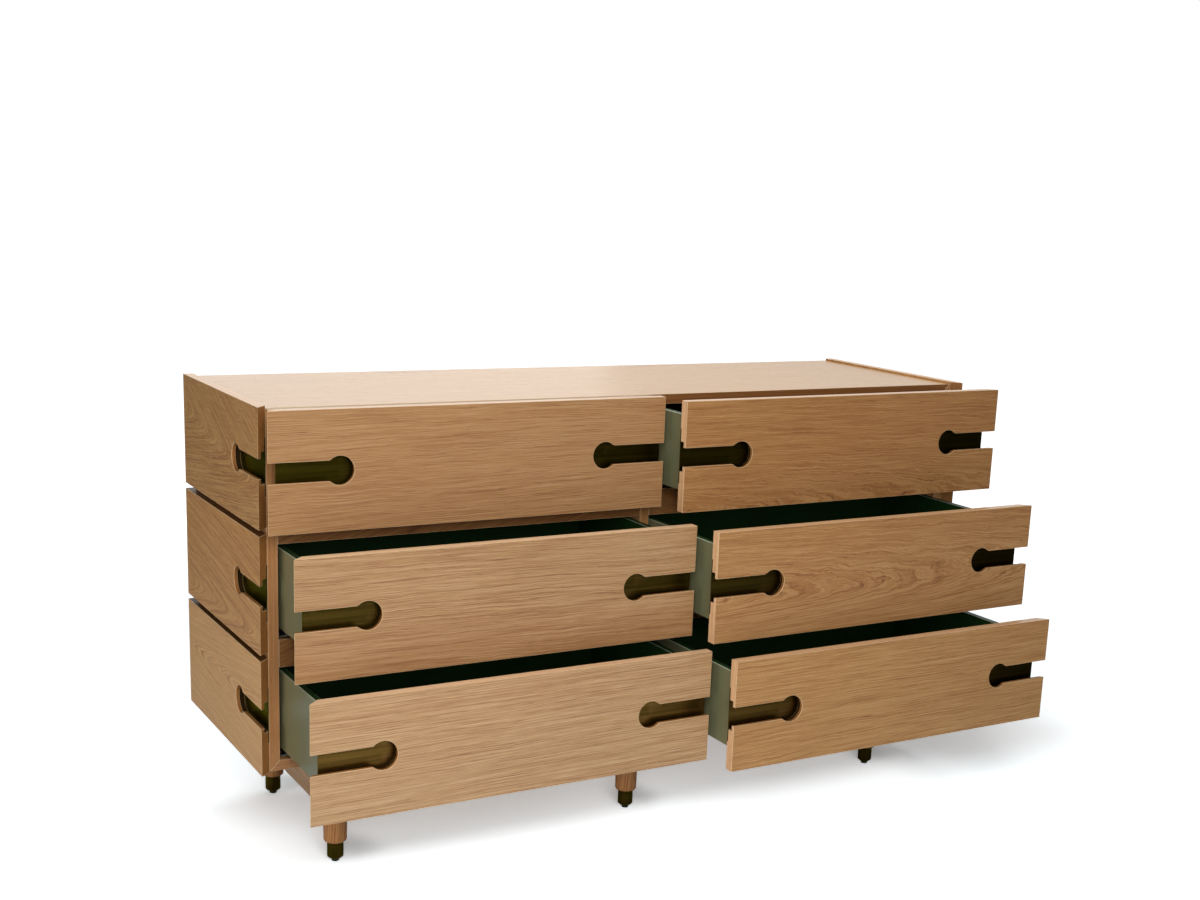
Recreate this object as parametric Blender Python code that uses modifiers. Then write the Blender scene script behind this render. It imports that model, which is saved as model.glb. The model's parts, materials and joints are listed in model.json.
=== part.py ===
# Six-drawer oak dresser with wrap-round finger pulls, standing on three beams.
# Metres, +Z up. The drawers open towards -Y, and +X is to the right when facing them.
# The origin is on the floor, at the middle of the dresser's outline with its drawers as posed.
# Inside the model, y = 0 is the plane of the side cladding's front corners.

import math

import bmesh
import bpy

# overall case
WIDTH = 1.524
DEPTH = 0.457
UNDERSIDE = 0.202
ROW_COUNT = 3
ROW_HEIGHT = 0.208
ROW_GAP = 0.0106
TOP_RECESS = 0.0045

# boards
PANEL = 0.019
BOARD = 0.019
CARCASS_SETBACK = 0.020
RAIL_HEIGHT = 0.050
RAIL_DEPTH = 0.022
BACK_THICKNESS = 0.009
BACK_INSET = 0.006
BACK_REBATE = 0.008

# drawer fronts and their closed position
FRONT_END_GAP = 0.0015
FRONT_CENTRE_GAP = 0.0058
BUMPER_GAP = 0.002

# how far each drawer stands open as posed
OPEN_LEFT_LOWER = 0.244
OPEN_LEFT_MIDDLE = 0.173
OPEN_LEFT_UPPER = 0.044
OPEN_RIGHT_LOWER = 0.317
OPEN_RIGHT_MIDDLE = 0.237
OPEN_RIGHT_UPPER = 0.110

# finger pull: a keyhole slot in the lip, a taller channel behind it, and a backing plate
SLOT_HEIGHT = 0.035
SLOT_CIRCLE = 0.050
SLOT_REACH = 0.125
SLOT_FILLET = 0.005
LIP = 0.007
CHANNEL_HEIGHT = 0.055
PLATE_HEIGHT = 0.102
PLATE_THICKNESS = 0.002
SIDE_PLATE_LENGTH = 0.162

# drawer box
BOX_BACK_GAP = 0.0237
BOX_WALL = 0.012
BOX_BOTTOM_EDGE = 0.037
BOX_HEADROOM = 0.028
BOX_FLOOR_RISE = 0.013
BOX_FLOOR = 0.006
BOX_SIDE_GAP = 0.0057

# undermount runner: section sizes from the wall that it is screwed to
RUNNER_BACK_GAP = 0.028
RUNNER_STEEL = 0.002
RUNNER_START = 0.013
RUNNER_FLANGE = 0.0136
RUNNER_DROP = 0.0166
RUNNER_WEB = 0.020
RUNNER_TRACK = 0.025
TRACK_LIP_DROP = 0.005
GLIDER_STEEL = 0.0023
GLIDER_SIDE_GAP = 0.0005
GLIDER_FLANGE = 0.002
GLIDER_FLANGE_DROP = 0.002
BOLT_RADIUS = 0.002
BOLT_CLEARANCE = 0.0005
BOLT_INSET = 0.060

# base
LEG_SIDE_INSET = 0.149
LEG_FRONT_INSET = 0.048
LEG_BACK_INSET = 0.045
BEAM_WIDTH = 0.060
BEAM_BOTTOM = 0.110
BEAM_OVERHANG = 0.026
BEAM_EDGE = 0.002
STUB_TOP_RADIUS = 0.0222
STUB_FOOT_RADIUS = 0.0212
STUB_FOOT = 0.039
STUB_ROUND = 0.008
FERRULE_RADIUS = 0.015
FERRULE_CHAMFER_TOP = 0.0105
FERRULE_CHAMFER_FOOT = 0.0045
FERRULE_FOOT_RADIUS = 0.0085
GLIDE_RADIUS = 0.007
SPIGOT_RADIUS = 0.005
SPIGOT_LENGTH = 0.018

# working values
FIT = 0.0003
OVERRUN = 0.006
OVERLAP = 0.0015
WELD = 0.000001
FLAT = math.radians(0.1)
ARC_STEPS = 28
TURN_STEPS = 28
BORE_STEPS = 12
FILLET_STEPS = 3
ROUND_STEPS = 4
EASE_STEPS = 2

# sizes that follow from the ones above
SIDES = {"left": -1, "right": 1}
ROWS = ("lower", "middle", "upper")
ROW_PITCH = ROW_HEIGHT + ROW_GAP
CASE_TOP = UNDERSIDE + ROW_COUNT * ROW_HEIGHT + (ROW_COUNT - 1) * ROW_GAP
CARCASS_TOP = CASE_TOP - TOP_RECESS
CARCASS_HALF = WIDTH / 2 - PANEL - FIT
BAY_OUT = CARCASS_HALF - BOARD
BAY_IN = BOARD / 2
BACK_FACE = DEPTH - BACK_INSET - BACK_THICKNESS
FRONT_OUT = WIDTH / 2 - FRONT_END_GAP
FRONT_IN = FRONT_CENTRE_GAP / 2
COLUMN_CENTRE = (FRONT_OUT + FRONT_IN) / 2
CLOSED_FRONT = CARCASS_SETBACK - BUMPER_GAP - PANEL
BOX_OUT = BAY_OUT - BOX_SIDE_GAP
BOX_IN = BAY_IN + BOX_SIDE_GAP
BOX_FRONT = PANEL + FIT
BOX_BACK = BACK_FACE - CLOSED_FRONT - BOX_BACK_GAP
BOX_TOP_EDGE = ROW_HEIGHT - BOX_HEADROOM
FLOOR_UNDERSIDE = BOX_BOTTOM_EDGE + BOX_FLOOR_RISE
TRACK_TOP = FLOOR_UNDERSIDE - GLIDER_STEEL - FIT
RUNNER_FRONT = CARCASS_SETBACK + RUNNER_START
RUNNER_BACK = BACK_FACE - RUNNER_BACK_GAP
LEG_SPREAD = WIDTH / 2 - LEG_SIDE_INSET
LEG_FRONT = LEG_FRONT_INSET
LEG_BACK = DEPTH - LEG_BACK_INSET
OPEN = {
    ("left", "lower"): OPEN_LEFT_LOWER,
    ("left", "middle"): OPEN_LEFT_MIDDLE,
    ("left", "upper"): OPEN_LEFT_UPPER,
    ("right", "lower"): OPEN_RIGHT_LOWER,
    ("right", "middle"): OPEN_RIGHT_MIDDLE,
    ("right", "upper"): OPEN_RIGHT_UPPER,
}
FRAME_SHIFT = (max(OPEN.values()) - CLOSED_FRONT - DEPTH) / 2


def remove_everything():
    for thing in list(bpy.data.objects):
        bpy.data.objects.remove(thing, do_unlink=True)


def new_collection(name):
    collection = bpy.data.collections.new(name)
    bpy.context.scene.collection.children.link(collection)
    return collection


def make_material(name, colour, roughness, metallic=0.0):
    material = bpy.data.materials.new(name)
    material.use_nodes = True
    shader = material.node_tree.nodes["Principled BSDF"]
    shader.inputs["Base Color"].default_value = (*colour, 1.0)
    shader.inputs["Roughness"].default_value = roughness
    shader.inputs["Metallic"].default_value = metallic
    return material


def oak(piece):
    return make_material(f"oak_{piece}", (0.43, 0.25, 0.12), 0.5)


def bronze(piece):
    return make_material(f"bronze_{piece}", (0.05, 0.033, 0.012), 0.38, 1.0)


def lacquer(piece):
    return make_material(f"green_lacquer_{piece}", (0.12, 0.14, 0.09), 0.32)


def steel(piece):
    return make_material(f"zinc_steel_{piece}", (0.55, 0.56, 0.56), 0.35, 1.0)


def place(piece, parent, material=None):
    """Put a mesh object in the parts collection, or in the cutters when it has no material."""
    if material:
        parts.objects.link(piece)
        piece.data.materials.clear()
        piece.data.materials.append(material)
    else:
        cutters.objects.link(piece)
        piece.hide_render = True
        piece.display_type = "WIRE"
    piece.parent = parent
    return piece


def block(name, low, high, parent, material=None):
    """A rectangular board between two corners."""
    shape = bmesh.new()
    bmesh.ops.create_cube(shape, size=1.0)
    bmesh.ops.scale(shape, vec=[b - a for a, b in zip(low, high)], verts=shape.verts)
    mesh = bpy.data.meshes.new(name)
    shape.to_mesh(mesh)
    shape.free()
    piece = bpy.data.objects.new(name, mesh)
    piece.location = [(a + b) / 2 for a, b in zip(low, high)]
    return place(piece, parent, material)


def prism(name, outline, low, high, axis, parent, material=None):
    """A flat outline drawn in the plane across one axis, extruded along it from low to high."""
    curve = bpy.data.curves.new(name, "CURVE")
    curve.dimensions = "2D"
    curve.fill_mode = "BOTH"
    curve.extrude = (high - low) / 2
    spline = curve.splines.new("POLY")
    spline.points.add(len(outline) - 1)
    for point, (across, up) in zip(spline.points, outline):
        point.co = (across, up, 0.0, 1.0)
    spline.use_cyclic_u = True
    drawing = bpy.data.objects.new(name, curve)
    middle = (low + high) / 2
    if axis == "X":
        drawing.rotation_euler = (math.pi / 2, 0.0, math.pi / 2)
        drawing.location = (middle, 0.0, 0.0)
    elif axis == "Y":
        drawing.rotation_euler = (math.pi / 2, 0.0, 0.0)
        drawing.location = (0.0, middle, 0.0)
    else:
        drawing.location = (0.0, 0.0, middle)
    cutters.objects.link(drawing)
    bpy.context.view_layer.update()
    graph = bpy.context.evaluated_depsgraph_get()
    mesh = bpy.data.meshes.new_from_object(drawing.evaluated_get(graph))
    mesh.name = name
    shape = bmesh.new()
    shape.from_mesh(mesh)
    bmesh.ops.remove_doubles(shape, verts=shape.verts, dist=WELD)
    bmesh.ops.dissolve_limit(shape, angle_limit=FLAT, verts=shape.verts, edges=shape.edges)
    shape.to_mesh(mesh)
    shape.free()
    where = drawing.matrix_world.copy()
    bpy.data.objects.remove(drawing, do_unlink=True)
    piece = bpy.data.objects.new(name, mesh)
    piece.matrix_world = where
    return place(piece, parent, material)


def turned(name, profile, x, y, parent, material=None):
    """A profile of (radius, height) pairs, drawn from the top down and spun about its own Z."""
    mesh = bpy.data.meshes.new(name)
    points = [(radius, 0.0, height) for radius, height in profile]
    mesh.from_pydata(points, [(i, i + 1) for i in range(len(points) - 1)], [])
    piece = bpy.data.objects.new(name, mesh)
    piece.location = (x, y, 0.0)
    place(piece, parent, material)
    spin = piece.modifiers.new("spin", "SCREW")
    spin.steps = TURN_STEPS
    spin.render_steps = TURN_STEPS
    spin.use_merge_vertices = True
    spin.merge_threshold = WELD
    spin.use_smooth_shade = True
    return piece


def rod(name, centre, radius, length, parent, material=None):
    """A round bar along X, centred on a point."""
    shape = bmesh.new()
    bmesh.ops.create_cone(
        shape, cap_ends=True, segments=BORE_STEPS, radius1=radius, radius2=radius, depth=length
    )
    mesh = bpy.data.meshes.new(name)
    shape.to_mesh(mesh)
    shape.free()
    piece = bpy.data.objects.new(name, mesh)
    piece.location = centre
    piece.rotation_euler = (0.0, math.pi / 2, 0.0)
    return place(piece, parent, material)


def cut(piece, cutter):
    change = piece.modifiers.new(cutter.name, "BOOLEAN")
    change.operation = "DIFFERENCE"
    change.solver = "EXACT"
    change.object = cutter


def fuse(piece, other):
    change = piece.modifiers.new(other.name, "BOOLEAN")
    change.operation = "UNION"
    change.solver = "EXACT"
    change.object = other


def arc(centre, radius, start, end, steps):
    """Points along an arc, angles in radians, both ends included."""
    points = []
    for step in range(steps + 1):
        angle = start + (end - start) * step / steps
        points.append((centre[0] + radius * math.cos(angle), centre[1] + radius * math.sin(angle)))
    return points


def keyhole():
    """The slot seen from the face: open at u = 0, with a filleted round end at SLOT_REACH."""
    half = SLOT_HEIGHT / 2
    radius = SLOT_CIRCLE / 2
    rise = half + SLOT_FILLET
    back = math.sqrt((radius + SLOT_FILLET) ** 2 - rise**2)
    lean = math.atan2(rise, back)
    neck = SLOT_REACH - back
    lower = arc((neck, -rise), SLOT_FILLET, math.pi / 2, lean, FILLET_STEPS)
    round_end = arc((SLOT_REACH, 0.0), radius, lean - math.pi, math.pi - lean, ARC_STEPS)
    upper = arc((neck, rise), SLOT_FILLET, -lean, -math.pi / 2, FILLET_STEPS)
    return [(-OVERRUN, -half), *lower, *round_end[1:-1], *upper, (-OVERRUN, half)]


def channel():
    """The taller hidden channel behind the lip, with a plain round end on the same centre."""
    half = CHANNEL_HEIGHT / 2
    round_end = arc((SLOT_REACH, 0.0), half, -math.pi / 2, math.pi / 2, ARC_STEPS)
    return [(-OVERRUN, -half), *round_end, (-OVERRUN, half)]


def row_bottom(row):
    return UNDERSIDE + ROWS.index(row) * ROW_PITCH


def build_carcass():
    """Mitred case with a centre divider, four front rails and a back panel in a rebate."""
    gap = FIT * math.sqrt(2)
    top_in = CARCASS_TOP - BOARD
    floor_in = UNDERSIDE + BOARD
    top_outline = [
        (-CARCASS_HALF, CARCASS_TOP),
        (CARCASS_HALF, CARCASS_TOP),
        (BAY_OUT, top_in),
        (-BAY_OUT, top_in),
    ]
    bottom_outline = [
        (-CARCASS_HALF, UNDERSIDE),
        (CARCASS_HALF, UNDERSIDE),
        (BAY_OUT, floor_in),
        (-BAY_OUT, floor_in),
    ]
    front = CARCASS_SETBACK
    boards = [
        prism("top_panel", top_outline, front, DEPTH, "Y", case, oak("top")),
        prism("bottom_panel", bottom_outline, front, DEPTH, "Y", case, oak("bottom")),
    ]
    for side, way in SIDES.items():
        side_outline = [
            (way * CARCASS_HALF, UNDERSIDE + gap),
            (way * CARCASS_HALF, CARCASS_TOP - gap),
            (way * BAY_OUT, top_in - gap),
            (way * BAY_OUT, floor_in + gap),
        ]
        name = f"carcass_side_{side}"
        boards.append(prism(name, side_outline, front, DEPTH, "Y", case, oak(f"carcass_{side}")))
    wide = BAY_OUT + BACK_REBATE
    rebate = block(
        "cut_back_rebate",
        (-wide, BACK_FACE - FIT, floor_in - BACK_REBATE),
        (wide, DEPTH + OVERRUN, top_in + BACK_REBATE),
        case,
    )
    for board in boards:
        cut(board, rebate)
    block(
        "back_panel",
        (-wide + FIT, BACK_FACE, floor_in - BACK_REBATE + FIT),
        (wide - FIT, BACK_FACE + BACK_THICKNESS, top_in + BACK_REBATE - FIT),
        case,
        oak("back"),
    )
    divider = block(
        "centre_divider",
        (-BAY_IN, front, floor_in + FIT),
        (BAY_IN, BACK_FACE - FIT, top_in - FIT),
        case,
        oak("divider"),
    )
    for row in ROWS[1:]:
        middle = row_bottom(row) - ROW_GAP / 2
        for side, way in SIDES.items():
            ends = sorted((way * (BAY_IN + FIT), way * (BAY_OUT - FIT)))
            block(
                f"rail_{'upper' if row == ROWS[-1] else 'lower'}_{side}",
                (ends[0], front, middle - RAIL_HEIGHT / 2),
                (ends[1], front + RAIL_DEPTH, middle + RAIL_HEIGHT / 2),
                case,
                oak(f"rail_{row}_{side}"),
            )
    return divider


def build_cladding(side, row):
    """One side panel, mitred at its front edge, with its finger slot and backing plate."""
    way = SIDES[side]
    low = row_bottom(row)
    middle = low + ROW_HEIGHT / 2
    face = way * WIDTH / 2
    seat = way * (WIDTH / 2 - PANEL)
    outline = [(face, 0.0), (seat, PANEL), (seat, DEPTH), (face, DEPTH)]
    label = f"{side}_{row}"
    top = low + ROW_HEIGHT
    panel = prism(f"side_panel_{label}", outline, low, top, "Z", case, oak(f"cladding_{label}"))

    past = seat - way * OVERRUN
    before = face + way * OVERRUN
    inside = face - way * LIP
    through = inside - way * OVERRUN
    hollow = [(u, v + middle) for u, v in channel()]
    slot = [(u, v + middle) for u, v in keyhole()]
    cut(panel, prism(f"cut_channel_{label}", hollow, *sorted((past, inside)), "X", case))
    cut(panel, prism(f"cut_slot_{label}", slot, *sorted((through, before)), "X", case))

    half = PLATE_HEIGHT / 2
    plate_face = way * (WIDTH / 2 - PANEL + PLATE_THICKNESS)
    rebate_x = sorted((past, plate_face + way * FIT))
    end = PANEL + SIDE_PLATE_LENGTH
    rebate = block(
        f"cut_rebate_{label}",
        (rebate_x[0], -OVERRUN, middle - half),
        (rebate_x[1], end + FIT, middle + half),
        case,
    )
    cut(panel, rebate)
    plate_x = sorted((seat, plate_face))
    block(
        f"side_plate_{label}",
        (plate_x[0], PANEL, middle - half + FIT),
        (plate_x[1], end, middle + half - FIT),
        case,
        bronze(f"plate_{label}"),
    )


def runner_section(wall, way, rise):
    """The fixed runner: wall flange, foot, web and a downturned track, seen from the front."""
    steel_in = FIT + RUNNER_STEEL
    web = RUNNER_WEB
    track = RUNNER_WEB + RUNNER_TRACK
    low = -RUNNER_DROP
    shelf = low + RUNNER_STEEL
    top = TRACK_TOP - BOX_BOTTOM_EDGE
    section = [
        (FIT, shelf + RUNNER_FLANGE - RUNNER_STEEL),
        (steel_in, shelf + RUNNER_FLANGE - RUNNER_STEEL),
        (steel_in, shelf),
        (web, shelf),
        (web, top),
        (track, top),
        (track, -TRACK_LIP_DROP),
        (track - RUNNER_STEEL, -TRACK_LIP_DROP),
        (track - RUNNER_STEEL, top - RUNNER_STEEL),
        (web + RUNNER_STEEL, top - RUNNER_STEEL),
        (web + RUNNER_STEEL, low),
        (FIT, low),
    ]
    return [(wall + way * u, v + rise) for u, v in section]


def build_runners(row, divider):
    """Fixed runners: one on each case side, and a back-to-back pair bolted through the divider."""
    rise = row_bottom(row) + BOX_BOTTOM_EDGE
    front = RUNNER_FRONT
    back = RUNNER_BACK
    for side, way in SIDES.items():
        section = runner_section(way * BAY_OUT, -way, rise)
        name = f"runner_{side}_{row}"
        prism(name, section, front, back, "Y", case, steel(name))

    name = f"runner_centre_{row}"
    left = runner_section(-BAY_IN, -1, rise)
    right = runner_section(BAY_IN, 1, rise)
    pair = prism(name, left, front, back, "Y", case, steel(name))
    fuse(pair, prism(f"join_runner_{row}", right, front, back, "Y", case))
    flange_middle = rise - RUNNER_DROP + RUNNER_FLANGE / 2
    for number, along in enumerate((front + BOLT_INSET, back - BOLT_INSET)):
        centre = (0.0, along, flange_middle)
        length = 2 * (BAY_IN + FIT) + RUNNER_STEEL
        fuse(pair, rod(f"join_bolt_{row}_{number}", centre, BOLT_RADIUS, length, case))
        hole = rod(f"cut_bolt_{row}_{number}", centre, BOLT_RADIUS + BOLT_CLEARANCE, BOARD * 2, case)
        cut(divider, hole)


def build_drawer(side, row):
    """A drawer on its own empty, which stands on the axis that the drawer slides along."""
    way = SIDES[side]
    label = f"{side}_{row}"
    slide = bpy.data.objects.new(f"slide_{label}", None)
    parts.objects.link(slide)
    slide.parent = case
    slide.location = (way * COLUMN_CENTRE, CLOSED_FRONT - OPEN[(side, row)], row_bottom(row))

    def across(out):
        return way * (out - COLUMN_CENTRE)

    build_front(label, across, slide)
    build_box(label, across, slide)


def build_front(label, across, slide):
    """Overlay front: mitred outer end, square inner end, a finger slot through each end."""
    outline = [
        (across(FRONT_IN), 0.0),
        (across(FRONT_OUT), 0.0),
        (across(FRONT_OUT - PANEL), PANEL),
        (across(FRONT_IN), PANEL),
    ]
    front = prism(
        f"drawer_front_{label}", outline, 0.0, ROW_HEIGHT, "Z", slide, oak(f"front_{label}")
    )
    middle = ROW_HEIGHT / 2
    half = PLATE_HEIGHT / 2
    for end, start, way_in in (("outer", FRONT_OUT, -1), ("inner", FRONT_IN, 1)):
        hollow = [(across(start + way_in * u), v + middle) for u, v in channel()]
        slot = [(across(start + way_in * u), v + middle) for u, v in keyhole()]
        cut(front, prism(f"cut_channel_{label}_{end}", hollow, LIP, PANEL + OVERRUN, "Y", slide))
        cut(front, prism(f"cut_slot_{label}_{end}", slot, -OVERRUN, LIP + OVERRUN, "Y", slide))

    ends = sorted((across(FRONT_IN - OVERRUN), across(FRONT_OUT + OVERRUN)))
    rebate = block(
        f"cut_rebate_{label}",
        (ends[0], PANEL - PLATE_THICKNESS - FIT, middle - half),
        (ends[1], PANEL + OVERRUN, middle + half),
        slide,
    )
    cut(front, rebate)
    ends = sorted((across(FRONT_IN), across(FRONT_OUT - PANEL)))
    block(
        f"pull_plate_{label}",
        (ends[0], PANEL - PLATE_THICKNESS, middle - half + FIT),
        (ends[1], PANEL, middle + half - FIT),
        slide,
        bronze(f"pull_{label}"),
    )


def build_box(label, across, slide):
    """Lacquered box with a raised floor, and the moving half of its two runners under it."""
    ends = sorted((across(BOX_IN), across(BOX_OUT)))
    box = block(
        f"drawer_box_{label}",
        (ends[0], BOX_FRONT, BOX_BOTTOM_EDGE),
        (ends[1], BOX_BACK, BOX_TOP_EDGE),
        slide,
        lacquer(f"box_{label}"),
    )
    inner = sorted((across(BOX_IN + BOX_WALL), across(BOX_OUT - BOX_WALL)))
    inside_front = BOX_FRONT + BOX_WALL
    room = block(
        f"cut_room_{label}",
        (inner[0], inside_front, FLOOR_UNDERSIDE + BOX_FLOOR),
        (inner[1], BOX_BACK - BOX_WALL, BOX_TOP_EDGE + OVERRUN),
        slide,
    )
    recess = block(
        f"cut_recess_{label}",
        (inner[0], inside_front, BOX_BOTTOM_EDGE - OVERRUN),
        (inner[1], BOX_BACK + OVERRUN, FLOOR_UNDERSIDE),
        slide,
    )
    cut(box, room)
    cut(box, recess)

    plate_low = FLOOR_UNDERSIDE - GLIDER_STEEL
    plate_top = FLOOR_UNDERSIDE + OVERLAP
    flange_low = BOX_BOTTOM_EDGE - GLIDER_FLANGE_DROP
    start = BOX_SIDE_GAP + BOX_WALL - OVERLAP
    track = RUNNER_WEB + RUNNER_TRACK + GLIDER_SIDE_GAP
    edge = track + GLIDER_FLANGE
    section = [
        (start, plate_low),
        (track, plate_low),
        (track, flange_low),
        (edge, flange_low),
        (edge, plate_top),
        (start, plate_top),
    ]
    for end, wall, way_in in (("outer", BAY_OUT, -1), ("inner", BAY_IN, 1)):
        outline = [(across(wall + way_in * u), v) for u, v in section]
        name = f"join_glider_{label}_{end}"
        fuse(box, prism(name, outline, inside_front - OVERLAP, BOX_BACK - BOX_WALL, "Y", slide))


def stub_profile():
    """Turned stub below a beam: rounded foot, and a blind bore for the ferrule's spigot."""
    top = BEAM_BOTTOM + OVERRUN
    edge = STUB_FOOT_RADIUS - STUB_ROUND
    foot = arc((edge, STUB_FOOT + STUB_ROUND), STUB_ROUND, 0.0, -math.pi / 2, ROUND_STEPS)
    bore = SPIGOT_RADIUS + FIT
    bore_top = STUB_FOOT + SPIGOT_LENGTH + FIT
    return [
        (0.0, top),
        (STUB_TOP_RADIUS, top),
        *foot,
        (bore, STUB_FOOT),
        (bore, bore_top),
        (0.0, bore_top),
    ]


def ferrule_profile():
    """Bronze ferrule with its spigot above and its glide below."""
    top = STUB_FOOT - FIT
    return [
        (0.0, top + SPIGOT_LENGTH),
        (SPIGOT_RADIUS, top + SPIGOT_LENGTH),
        (SPIGOT_RADIUS, top),
        (FERRULE_RADIUS, top),
        (FERRULE_RADIUS, FERRULE_CHAMFER_TOP),
        (FERRULE_FOOT_RADIUS, FERRULE_CHAMFER_FOOT),
        (GLIDE_RADIUS, FERRULE_CHAMFER_FOOT),
        (GLIDE_RADIUS, 0.0),
        (0.0, 0.0),
    ]


def build_base(name, x):
    """A beam under the case with a turned stub and a bronze ferrule near each end."""
    beam = block(
        f"base_beam_{name}",
        (x - BEAM_WIDTH / 2, LEG_FRONT - BEAM_OVERHANG, BEAM_BOTTOM),
        (x + BEAM_WIDTH / 2, LEG_BACK + BEAM_OVERHANG, UNDERSIDE - FIT),
        case,
        oak(f"beam_{name}"),
    )
    ease = beam.modifiers.new("eased edges", "BEVEL")
    ease.width = BEAM_EDGE
    ease.segments = EASE_STEPS
    for end, y in (("front", LEG_FRONT), ("back", LEG_BACK)):
        fuse(beam, turned(f"join_stub_{end}_{name}", stub_profile(), x, y, case))
        ferrule = turned(
            f"ferrule_{end}_{name}", ferrule_profile(), x, y, case, bronze(f"ferrule_{end}_{name}")
        )
        ferrule.data.shade_smooth()


remove_everything()
parts = new_collection("dresser")
cutters = new_collection("cutters")
case = bpy.data.objects.new("case", None)
parts.objects.link(case)
case.location = (0.0, FRAME_SHIFT, 0.0)

centre_divider = build_carcass()
for row in ROWS:
    build_runners(row, centre_divider)
    for side in SIDES:
        build_cladding(side, row)
        build_drawer(side, row)
for beam_name, beam_x in (("left", -LEG_SPREAD), ("centre", 0.0), ("right", LEG_SPREAD)):
    build_base(beam_name, beam_x)
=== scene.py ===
import json
import math

import bmesh
import bpy
from mathutils import Euler, Matrix, Vector


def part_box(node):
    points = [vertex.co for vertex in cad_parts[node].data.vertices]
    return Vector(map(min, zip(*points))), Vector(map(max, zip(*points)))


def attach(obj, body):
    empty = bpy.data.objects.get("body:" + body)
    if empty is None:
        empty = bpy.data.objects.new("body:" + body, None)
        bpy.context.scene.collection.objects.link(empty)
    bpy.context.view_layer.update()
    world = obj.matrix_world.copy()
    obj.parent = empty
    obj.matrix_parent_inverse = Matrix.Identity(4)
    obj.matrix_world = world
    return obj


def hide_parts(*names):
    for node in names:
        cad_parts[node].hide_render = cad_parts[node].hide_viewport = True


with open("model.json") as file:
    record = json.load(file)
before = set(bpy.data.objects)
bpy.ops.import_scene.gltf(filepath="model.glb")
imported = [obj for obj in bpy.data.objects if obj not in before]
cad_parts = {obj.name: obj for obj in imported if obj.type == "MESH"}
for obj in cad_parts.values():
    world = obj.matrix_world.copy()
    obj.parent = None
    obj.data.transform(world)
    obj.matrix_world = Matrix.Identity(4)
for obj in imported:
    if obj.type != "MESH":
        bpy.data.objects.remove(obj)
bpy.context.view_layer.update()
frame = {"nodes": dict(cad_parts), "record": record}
cadNodes = frame["nodes"]
bodyOf = {}
for body, held in frame["record"]["behaviour"]["bodies"].items():
    for node in held:
        bodyOf[node] = body
sides = ("left", "right")
rows = ("lower", "middle", "upper")
drawers = [(side, row) for side in sides for row in rows]
columns = ("left", "centre", "right")  # where the runners, beams and feet stand
footRows = ("front", "back")
print("frame loaded:", len(cadNodes), "nodes")


class Wire:
    # wraps a node's socket, so that a mask reads as an ordinary expression
    def __init__(self, tree, socket=None):
        self.tree = tree
        self.socket = socket

    def node(self, kind, settings=None, values=None, out=0):
        made = self.tree.nodes.new(kind)
        for name, value in (settings or {}).items():
            if name == "stops":
                self.setStops(made.color_ramp.elements, value)
            else:
                setattr(made, name, value)
        for key, value in (values or {}).items():
            if isinstance(value, Wire):
                self.tree.links.new(value.socket, made.inputs[key])
            else:
                made.inputs[key].default_value = value
        return Wire(self.tree, made.outputs[out] if made.outputs else None)

    def setStops(self, elements, stops):
        for index, (place, colour) in enumerate(stops):
            stop = elements[index] if index < 2 else elements.new(place)
            stop.position = place
            stop.color = (*colour, 1.0)

    def maths(self, operation, *values):
        return self.node("ShaderNodeMath", {"operation": operation}, dict(enumerate(values)))

    def __add__(self, other):
        return self.maths("ADD", self, other)

    def __sub__(self, other):
        return self.maths("SUBTRACT", self, other)

    def __rsub__(self, other):
        return self.maths("SUBTRACT", other, self)

    def __mul__(self, other):
        return self.maths("MULTIPLY", self, other)

    def __pow__(self, other):
        return self.maths("POWER", self, other)

    __radd__ = __add__
    __rmul__ = __mul__

    def between(self, low, high):
        # rises smoothly from 0 at low to 1 at high, or falls where low is the larger
        limits = {"Value": self, "From Min": low, "From Max": high}
        return self.node("ShaderNodeMapRange", {"interpolation_type": "SMOOTHSTEP"}, limits)

    def vector(self, *values):
        return self.node("ShaderNodeCombineXYZ", None, dict(enumerate(values)))

    def noise(self, stretch, shift=(0.0, 0.0, 0.0), detail=2.0, roughness=0.5):
        spread = {"Vector": self, "Scale": stretch, "Location": shift}
        values = {
            "Vector": self.node("ShaderNodeMapping", None, spread),
            "Scale": 1.0,
            "Detail": detail,
            "Roughness": roughness,
        }
        return self.node("ShaderNodeTexNoise", None, values)

    def mixed(self, first, second):
        # this wire is the share of the second colour
        values = {0: self, 6: rgba(first), 7: rgba(second)}
        return self.node("ShaderNodeMix", {"data_type": "RGBA"}, values, 2)

    def shading(self, colour):
        # this wire is a level that the colour is multiplied by
        settings = {"data_type": "RGBA", "blend_type": "MULTIPLY"}
        return self.node("ShaderNodeMix", settings, {0: 1.0, 6: rgba(colour), 7: self}, 2)


def rgba(colour):
    return colour if isinstance(colour, Wire) else (*colour, 1.0)


def tinted(colour, tint):
    return tuple(part * share for part, share in zip(colour, tint))


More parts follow.
